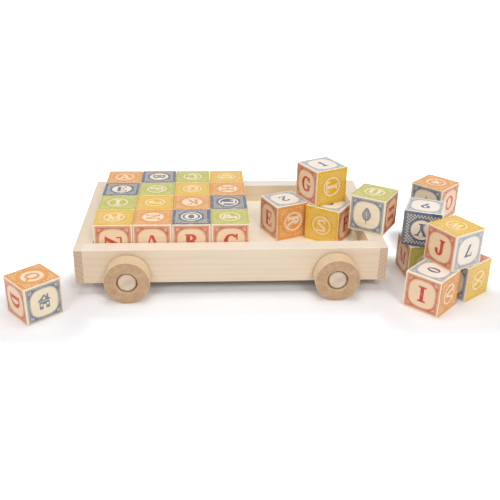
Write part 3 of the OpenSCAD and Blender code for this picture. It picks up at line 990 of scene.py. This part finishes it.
def new_material(name, colour, coat):
    """A material and its tree, with a Principled BSDF ready under a thin clear coat."""
    made = bpy.data.materials.new(name)
    made.use_nodes = True
    made.diffuse_color = rgba(colour)
    tree = Tree(made.node_tree)
    shader = made.node_tree.nodes["Principled BSDF"]
    shader.inputs["Specular IOR Level"].default_value = SPECULAR
    shader.inputs["Coat Weight"].default_value = coat
    shader.inputs["Coat Roughness"].default_value = COAT_ROUGH
    return made, tree, shader


def finish_surface(tree, shader, colour, roughness, height, surface):
    """Joins colour, roughness and bump to a shader."""
    bump = tree.add(
        "ShaderNodeBump", {"Strength": surface.bump, "Distance": surface.depth, "Height": height}
    )
    tree.feed(shader.inputs["Base Color"], colour)
    tree.feed(shader.inputs["Roughness"], roughness)
    tree.feed(shader.inputs["Normal"], bump.outputs["Normal"])


def grain_place(tree, place, axis, pith):
    """A place turned so that the grain runs along X, at an offset from the pith."""
    turn = (0.0, 0.0, math.pi / 2 if axis is Y else 0.0)
    node = tree.add("ShaderNodeMapping", {"Vector": place, "Location": pith, "Rotation": turn})
    return node.outputs["Vector"]


def centred_place(tree, centre):
    """Object coordinates measured from a point."""
    place = tree.add("ShaderNodeTexCoord").outputs["Object"]
    return tree.vector("SUBTRACT", place, tuple(centre))


def end_share(tree, axis):
    """1 on faces across an axis, 0 on faces along it."""
    normal = tree.add("ShaderNodeTexCoord").outputs["Normal"]
    facing = tree.math("ABSOLUTE", tree.vector("DOT_PRODUCT", normal, axis))
    return tree.step(facing, *END_STEP)


def wear_mask(tree, place, half, width):
    """How worn a box of half a size is near its edges."""
    wear = tree.group(shared_group(edge_wear_group), {"Vector": place, "Half": tuple(half), "Width": width})
    return wear["Mask"]


def board_material(node, board, early, late, ring_gap):
    """Sanded board: grain along its length, edges worn pale, and a painted highlight that whitens its level
    faces by a share.
    """
    low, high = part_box(node)
    made, tree, shader = new_material(node + "_wood", early, BOARD_SURFACE.coat)
    place = centred_place(tree, (low + high) / 2)
    grain = tree.group(shared_group(wood_grain_group), {
        "Vector": grain_place(tree, place, board.axis, board.pith), "Early": rgba(early), "Late": rgba(late),
        "Ring Gap": ring_gap, "Rings": BOARD_RINGS, "Fibres": BOARD_FIBRES,
        "End": end_share(tree, board.axis),
    })
    worn = wear_mask(tree, place, (high - low) / 2, BOARD_WEAR)
    # Painted highlight: level faces are blended towards a whiter colour by the board's share, standing in for
    # the sheen of light on them
    light = tuple(min(1.0, c * s) for c, s in zip(early, PAINTED_SHEEN_TINT))
    planed = tree.math("MULTIPLY", end_share(tree, Z), board.planed)
    colour = tree.blend(planed, grain["Color"], rgba(light))
    pale = tuple(min(1.0, c * WORN_TINT) for c in early)
    colour = tree.blend(tree.math("MULTIPLY", worn, WORN_SHARE), colour, rgba(pale))
    roughness = tree.math("MULTIPLY_ADD", worn, WORN_ROUGH, grain["Roughness"])
    finish_surface(tree, shader, colour, roughness, grain["Height"], BOARD_SURFACE)
    return made


def turned_material(node, turning, pith, early, late):
    """Turned wood with its grain along Y: mottled end grain and rays on its faces, with faint tool lines."""
    low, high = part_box(node)
    made, tree, shader = new_material(node + "_wood", early, TURNED_SURFACE.coat)
    place = centred_place(tree, (low + high) / 2)
    face = end_share(tree, Y)
    grain = tree.group(shared_group(wood_grain_group), {
        "Vector": grain_place(tree, place, Y, pith), "Early": rgba(early), "Late": rgba(late),
        "Ring Gap": turning.ring_gap, "Rings": turning.rings,
        "Fibres": tree.math("MULTIPLY_ADD", face, FACE_FIBRES, SIDE_FIBRES),
        "End": tree.math("MULTIPLY", face, turning.ends),
    })
    lines = tree.group(shared_group(turning_group), {"Vector": place, "Pitch": turning.line_gap})
    height = tree.math("MULTIPLY_ADD", lines["Mask"], TOOL_HEIGHT, grain["Height"])
    rays = tree.math("MULTIPLY", tree.math("MULTIPLY", lines["Rays"], RAY_SHARE), face)
    colour = tree.blend(rays, grain["Color"], rgba(early))
    mottle = tree.step(tree.noise(place, MOTTLE_NOISE), *MOTTLE_STEP)
    marks = tree.math("MULTIPLY_ADD", mottle, MOTTLE_SHARE, tree.math("MULTIPLY", lines["Mask"], TOOL_SHARE))
    dark = tuple(c * s for c, s in zip(late, MOTTLE_SHADE))
    colour = tree.blend(tree.math("MULTIPLY", marks, face), colour, rgba(dark))
    finish_surface(tree, shader, colour, grain["Roughness"], height, TURNED_SURFACE)
    return made


def print_places(tree):
    """A block's own coordinates, and the same shifted to a place in its wood."""
    place = tree.add("ShaderNodeAttribute", attribute_name="print_place").outputs["Vector"]
    shift = tree.add("ShaderNodeAttribute", attribute_name="grain_shift").outputs["Vector"]
    return place, tree.vector("ADD", place, shift)


def block_wood_material(name, early, finish, half):
    """Bare, whitened or stained wood of the blocks, with a grain offset of its own for each block."""
    made, tree, shader = new_material(name, early, GROUND_SURFACE.coat)
    place, grain_spot = print_places(tree)
    late = tuple(e * d / w for e, d, w in zip(early, finish.wood_dark, finish.wood))
    grain = tree.group(shared_group(wood_grain_group), {
        "Vector": grain_spot, "Early": rgba(early), "Late": rgba(late), "Ring Gap": BLOCK_RING_GAP,
        "Rings": BLOCK_RINGS, "Fibres": BLOCK_FIBRES,
    })
    worn = wear_mask(tree, place, (half,) * 3, BLOCK_WEAR)
    share = tree.math("MULTIPLY", worn, BLOCK_WORN_SHARE)
    colour = tree.blend(share, grain["Color"], rgba(finish.wood_dark))
    finish_surface(tree, shader, colour, grain["Roughness"], grain["Height"], GROUND_SURFACE)
    return made


def ink_material(name, ink, finish, half):
    """One ink on the blocks' wood."""
    made, tree, shader = new_material(name, ink, INK_SURFACE.coat)
    place, grain_spot = print_places(tree)
    film = tree.group(shared_group(ink_group), {
        "Vector": grain_spot, "Ink": rgba(ink), "Wood": rgba(finish.wood), "Wear": INK_WEAR,
        "Edge": wear_mask(tree, place, (half,) * 3, BLOCK_WEAR),
    })
    finish_surface(tree, shader, film["Color"], film["Roughness"], film["Height"], INK_SURFACE)
    return made


def dress(node, material):
    """Gives a CAD node one material."""
    slots = frame["nodes"][node].data.materials
    slots.clear()
    slots.append(material)


def dress_turned(nodes, turning, early, late):
    """Gives like turned pieces their wood, each with a pith of its own."""
    for i, node in enumerate(nodes):
        pith = tuple(place + step * i for place, step in zip(turning.pith, turning.pith_step))
        dress(node, turned_material(node, turning, pith, early, late))


class BLOCKSET_OT_finish_tray(bpy.types.Operator):
    """Gives the walls and the floor panel their wood"""
    bl_idname = "blockset.finish_tray"
    bl_label = "Finish the tray"

    def execute(self, context):
        wagon = context.scene.wagon_finish
        for node in WALLS:
            dress(node, board_material(node, BOARDS[node], wagon.wall, wagon.wall_dark, wagon.ring_gap))
        wide_gap = FLOOR_RINGS * wagon.ring_gap
        dress(FLOOR, board_material(FLOOR, BOARDS[FLOOR], wagon.floor, wagon.floor_dark, wide_gap))
        return {"FINISHED"}


class BLOCKSET_OT_finish_wheels(bpy.types.Operator):
    """Gives the four wheels their turned wood"""
    bl_idname = "blockset.finish_wheels"
    bl_label = "Finish the wheels"

    def execute(self, context):
        wagon = context.scene.wagon_finish
        dress_turned(WHEELS, WHEEL_TURNING, wagon.wheel, wagon.wheel_dark)
        return {"FINISHED"}


class BLOCKSET_OT_finish_pegs(bpy.types.Operator):
    """Gives the four axle pegs their turned wood, with end grain on the heads"""
    bl_idname = "blockset.finish_pegs"
    bl_label = "Finish the axle pegs"

    def execute(self, context):
        wagon = context.scene.wagon_finish
        dress_turned(PEGS, PEG_TURNING, wagon.peg, wagon.peg_dark)
        return {"FINISHED"}


# How level the normal of an upright face is, the least turn in degrees, and the steps of a rounded edge
LEVEL, LEAST_TURN, EDGE_STEPS = 0.1, 0.01, 4


def block_turn(node):
    """Turn of a block about Z in radians, from -90 degrees up to 0."""
    upright = [p for p in frame["nodes"][node].data.polygons if abs(p.normal.z) < LEVEL]
    widest = max(upright, key=lambda p: p.area)
    turn = math.degrees(math.atan2(widest.normal.y, widest.normal.x)) % 90
    if turn < LEAST_TURN or turn > 90 - LEAST_TURN:
        return 0.0
    return math.radians(turn - 90)


def block_shell(size, edge):
    """Rounded edges and corners of a block, without its flat faces: points and faces."""
    made = bmesh.new()
    bmesh.ops.create_cube(made, size=size)
    bmesh.ops.bevel(made, geom=made.edges[:], offset=edge, segments=EDGE_STEPS, profile=0.5, affect="EDGES")
    flat = [f for f in made.faces if f.calc_area() > (size - 3 * edge) ** 2]
    bmesh.ops.delete(made, geom=flat, context="FACES_ONLY")
    made.verts.index_update()
    points = [v.co.copy() for v in made.verts]
    faces = [(tuple(v.index for v in f.verts), f.normal.copy()) for f in made.faces]
    made.free()
    return points, faces


def block_faces(node, number, finish, tone):
    """Layers of a block's six faces, by face name."""
    name = node.split("_")[1]
    own = name.upper() if len(name) == 1 else name
    prints = LOOSE_PRINTS.get(node, STORED_PRINTS)
    prints = prints + tuple(OPPOSITE[p] for p in prints)
    made = {}
    letters = 0
    for k, (face, kind) in enumerate(zip(FACES, prints)):
        turns = (3 * number + 2 * k) % 4
        if kind == "colour":
            layers = coloured_face(tone, own, node in REVERSED, turns, finish.depth / MM, finish.slope / MM)
        elif kind == "letter":
            other = ALPHABET[(number + LETTER_START + LETTER_STEP * letters) % len(ALPHABET)]
            letters += 1
            layers = letter_face(other, 0 if number % 4 else 3)
        elif kind == "number":
            layers = number_face(SIGNS[(SIGN_STEP * number + SIGN_START) % len(SIGNS)], turns)
        else:
            layers = picture_face(PICTURES[(PICTURE_STEP * number + PICTURE_START) % len(PICTURES)])
        slip_x = PRINT_SLIP * math.sin(2.1 * number + 1.7 * k)
        slip_y = PRINT_SLIP * math.sin(3.3 * number + 0.9 * k)
        made[face] = (kind, [
            layer._replace(outlines=[moved(o, slip_x, slip_y) for o in layer.outlines]) for layer in layers
        ])
    return made


BLOCK_SLOTS = (
    "wood", "peach", "chalk", "cream", "field", "pale", "groove", "red", "letter", "slate", "sky", "navy"
)
GROUNDS = ("wood", "peach", "chalk", "cream")
FIELD_INKS = ("yellow", "orange", "green", "blue")
LINE_INKS = ("red", "letter", "slate", "sky", "navy")
UV_COLUMNS, UV_FILL = 3, 0.97


def grain_shift(number):
    """Where a block was cut out of its wood, in metres: along the grain, and twice across it."""
    return Vector((0.013 * number, 0.04 + 0.0037 * (number % 7), 0.02 - 0.006 * (number % 5)))


def printed_block(node, number, finish, materials):
    """Builds one printed block where its CAD node is."""
    low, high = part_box(node)
    size = high.z - low.z
    half = size / 2 - finish.edge
    tone = SLOT_OF[node].split("_")[1]
    points, shell = block_shell(size, finish.edge)
    faces = block_faces(node, number, finish, tone)
    coloured = [FACES[f][2] for f, (kind, _) in faces.items() if kind == "colour"]
    polygons = []
    for corners, normal in shell:
        inked = any(normal.dot(way) > math.cos(math.radians(45)) for way in coloured)
        polygons.append((corners, "field" if inked else "wood", True))
    for face, (kind, layers) in faces.items():
        right, up, out = FACES[face]
        base = Layer("field" if kind == "colour" else "wood", [square(half / MM)], 0.0)
        spots, triangles = cut_face([base] + layers)
        index = {}
        for i, (x, y, depth) in enumerate(spots):
            place = right * x * MM + up * y * MM + out * (size / 2 + depth * MM)
            if max(abs(abs(x) - half / MM), abs(abs(y) - half / MM)) < CORNER_REACH:
                index[i] = min(range(len(points)), key=lambda p: (points[p] - place).length)
            else:
                index[i] = len(points)
                points.append(place)
        polygons.extend((tuple(index[c] for c in t), finish_name, False) for t, finish_name in triangles)

    mesh = bpy.data.meshes.new("printed_" + node)
    mesh.from_pydata(points, [], [p[0] for p in polygons])
    by_tone = {"field": tone, "pale": "pale_" + tone, "groove": "groove_" + tone}
    for slot in BLOCK_SLOTS:
        mesh.materials.append(materials[by_tone.get(slot, slot)])
    mesh.polygons.foreach_set("material_index", [BLOCK_SLOTS.index(p[1]) for p in polygons])
    mesh.polygons.foreach_set("use_smooth", [p[2] for p in polygons])
    shift = grain_shift(number)
    grain = mesh.attributes.new("grain_shift", "FLOAT_VECTOR", "POINT")
    grain.data.foreach_set("vector", [c for _ in mesh.vertices for c in shift])
    own = mesh.attributes.new("print_place", "FLOAT_VECTOR", "POINT")
    own.data.foreach_set("vector", [c for v in mesh.vertices for c in v.co])
    lay_uv(mesh, size)
    mesh.transform(Matrix.Translation((low + high) / 2) @ Matrix.Rotation(block_turn(node), 4, "Z"))
    mesh.update()
    piece = bpy.data.objects.new("printed_" + node, mesh)
    bpy.context.scene.collection.objects.link(piece)
    return piece


def lay_uv(mesh, size):
    """Lays the six sides of a block next to each other on a map."""
    layer = mesh.uv_layers.new(name="OFBake")
    sides = list(FACES.values())
    for polygon in mesh.polygons:
        side = max(range(len(sides)), key=lambda s: polygon.normal.dot(sides[s][2]))
        right, up, _ = sides[side]
        column, row = side % UV_COLUMNS, side // UV_COLUMNS
        for loop in polygon.loop_indices:
            place = mesh.vertices[mesh.loops[loop].vertex_index].co
            u = (column + 0.5 + UV_FILL * place.dot(right) / size) / UV_COLUMNS
            v = (row + 0.5 + UV_FILL * place.dot(up) / size) / UV_COLUMNS
            layer.data[loop].uv = (u, v)


class BLOCKSET_OT_print_blocks(bpy.types.Operator):
    """Builds the printed blocks in place of the plain ones"""
    bl_idname = "blockset.print_blocks"
    bl_label = "Print the blocks"

    def execute(self, context):
        finish = context.scene.block_finish
        low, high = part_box(BLOCKS[0])
        half = (high.z - low.z) / 2
        inks = {name: Vector(getattr(finish, name)) for name in GROUNDS + FIELD_INKS + LINE_INKS}
        materials = {}
        for name in GROUNDS:
            materials[name] = block_wood_material("ground_" + name, tuple(inks[name]), finish, half)
        for name in FIELD_INKS + LINE_INKS:
            materials[name] = ink_material("ink_" + name, tuple(inks[name]), finish, half)
        for name, share in PALE_SHARE.items():
            pale = tuple(inks[name].lerp(inks["peach"], share))
            materials["pale_" + name] = ink_material("ink_pale_" + name, pale, finish, half)
        for name, share in STAIN_SHARE.items():
            stained = tuple(inks["wood"].lerp(inks[name], share))
            materials["groove_" + name] = block_wood_material("groove_" + name, stained, finish, half)
        order = sorted(BLOCKS, key=lambda n: (len(n) > len("block_a"), n))
        for number, node in enumerate(order):
            piece = printed_block(node, number, finish, materials)
            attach(piece, node)
            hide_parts(node)
        return {"FINISHED"}


def add_lamp(scene, name, place, size, watts):
    """Adds a soft square lamp that points at the middle of the set."""
    data = bpy.data.lights.new(name, "AREA")
    data.size = size
    data.energy = watts
    lamp = bpy.data.objects.new(name, data)
    scene.collection.objects.link(lamp)
    aim = (Vector(LAMP_AIM) - Vector(place)).to_track_quat("-Z", "Y")
    lamp.matrix_world = Matrix.Translation(place) @ aim.to_matrix().to_4x4()


def seen_share(tree):
    """1 for what the camera sees straight, in gloss or through glass, and 0 for other light."""
    path = tree.add("ShaderNodeLightPath").outputs
    share = tree.math("MAXIMUM", path["Is Camera Ray"], path["Is Glossy Ray"])
    return tree.math("MAXIMUM", share, path["Is Transmission Ray"])


def way_off(tree, groups, depth):
    """How far a point of the floor is from the nearest group of nodes, each cut at a depth from its front."""
    place = tree.add("ShaderNodeTexCoord").outputs["Object"]
    nearest = 1.0
    for nodes in groups:
        boxes = [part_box(n) for n in nodes]
        low = Vector([min(b[0][i] for b in boxes) for i in range(3)])
        high = Vector([max(b[1][i] for b in boxes) for i in range(3)])
        high.y = min(high.y, low.y + depth)
        offset = tree.vector("ABSOLUTE", tree.vector("SUBTRACT", place, tuple((low + high) / 2)))
        outside = tree.vector("SUBTRACT", offset, tuple((high - low) / 2))
        beyond = tree.vector("MAXIMUM", outside, (0.0, 0.0, 0.0))
        nearest = tree.math("MINIMUM", tree.vector("LENGTH", beyond), nearest)
    return nearest


def add_floor(scene, look):
    """Adds a paper floor that keeps the shadows near the set and is seen white further off."""
    mesh = bpy.data.meshes.new("studio_floor")
    mesh.from_pydata([(x, y, -FLOOR_DROP) for x, y in square(FLOOR_HALF)], [], [(0, 1, 2, 3)])
    floor = bpy.data.objects.new("studio_floor", mesh)
    scene.collection.objects.link(floor)
    material, tree, shader = new_material("studio_floor_paper", look.floor, 0.0)
    shader.inputs["Roughness"].default_value = PAPER_ROUGH
    shader.inputs["Specular IOR Level"].default_value = PAPER_SPECULAR
    speck = tree.noise(tree.add("ShaderNodeTexCoord").outputs["Object"], PAPER_NOISE)
    specks = tree.math("MULTIPLY", speck, PAPER_SPECKS)
    tree.feed(shader.inputs["Base Color"], tree.blend(specks, rgba(look.floor), PAPER_SPECK_COLOUR))
    shader.inputs["Emission Color"].default_value = WHITE
    fronts = way_off(tree, STANDING + (sum(STACKS, ()),), FRONT_DEPTH)
    things = way_off(tree, STANDING + STACKS, FLOOR_HALF)
    white = tree.math("MINIMUM", tree.step(fronts, *WHITE_FROM_FRONT), tree.step(things, *WHITE_FROM_THING))
    tree.feed(shader.inputs["Emission Strength"], tree.math("MULTIPLY", seen_share(tree), white))
    mesh.materials.append(material)


def light_room(scene, look):
    """Adds the even room light, which is seen as white, and the lamps."""
    world = bpy.data.worlds.new("studio_room")
    world.use_nodes = True
    scene.world = world
    tree = Tree(world.node_tree)
    room = world.node_tree.nodes["Background"]
    room.inputs["Color"].default_value = WHITE
    extra = tree.math("MULTIPLY", seen_share(tree), 1.0 - look.daylight)
    tree.feed(room.inputs["Strength"], tree.math("ADD", extra, look.daylight))
    for name, (place, size) in LAMPS.items():
        add_lamp(scene, name + "_lamp", place, size, getattr(look, name))


def add_camera(scene, look):
    """Adds the camera at the photo's angle."""
    data = bpy.data.cameras.new("photo_camera")
    data.sensor_width = SENSOR_WIDTH
    data.lens = look.lens
    data.clip_start = CLIP_START
    camera = bpy.data.objects.new("photo_camera", data)
    scene.collection.objects.link(camera)
    camera.matrix_world = (
        Matrix.Translation(look.camera_place)
        @ Matrix.Rotation(-look.yaw, 4, "Z")
        @ Matrix.Rotation(math.pi / 2 - look.pitch, 4, "X")
        @ Matrix.Rotation(look.roll, 4, "Z")
    )
    scene.camera = camera


class BLOCKSET_OT_set_stage(bpy.types.Operator):
    """Sets the floor, lamps, room light and camera"""
    bl_idname = "blockset.set_stage"
    bl_label = "Set the stage"

    def execute(self, context):
        scene = context.scene
        scene.view_settings.view_transform = "Standard"
        add_floor(scene, scene.stage_look)
        light_room(scene, scene.stage_look)
        add_camera(scene, scene.stage_look)
        return {"FINISHED"}


class BLOCKSET_PT_finish(bpy.types.Panel):
    """Sizes, colours and steps of the block set"""
    bl_label = "Alphabet Block Wagon"
    bl_idname = "BLOCKSET_PT_finish"
    bl_space_type = "VIEW_3D"
    bl_region_type = "UI"
    bl_category = "Blocks"

    def draw(self, context):
        scene = context.scene
        steps = {
            "wagon_finish": ("blockset.finish_tray", "blockset.finish_wheels", "blockset.finish_pegs"),
            "block_finish": ("blockset.print_blocks",),
            "stage_look": ("blockset.set_stage",),
        }
        for name, operators in steps.items():
            values = getattr(scene, name)
            box = self.layout.box()
            for key in values.__annotations__:
                box.prop(values, key)
            for operator in operators:
                box.operator(operator)


CLASSES = (
    BlockFinish, WagonFinish, StageLook, BLOCKSET_OT_finish_tray, BLOCKSET_OT_finish_wheels,
    BLOCKSET_OT_finish_pegs, BLOCKSET_OT_print_blocks, BLOCKSET_OT_set_stage, BLOCKSET_PT_finish,
)


def register():
    """Registers the classes and the values that the scene holds."""
    for cls in CLASSES:
        bpy.utils.register_class(cls)
    bpy.types.Scene.block_finish = PointerProperty(type=BlockFinish)
    bpy.types.Scene.wagon_finish = PointerProperty(type=WagonFinish)
    bpy.types.Scene.stage_look = PointerProperty(type=StageLook)


def unregister():
    """Takes the classes and values out again."""
    del bpy.types.Scene.stage_look
    del bpy.types.Scene.wagon_finish
    del bpy.types.Scene.block_finish
    for cls in reversed(CLASSES):
        bpy.utils.unregister_class(cls)


def main():
    """Builds everything in order."""
    register()
    bpy.ops.blockset.set_stage()
    bpy.ops.blockset.finish_tray()
    bpy.ops.blockset.finish_wheels()
    bpy.ops.blockset.finish_pegs()
    bpy.ops.blockset.print_blocks()


if __name__ == "__main__":
    main()
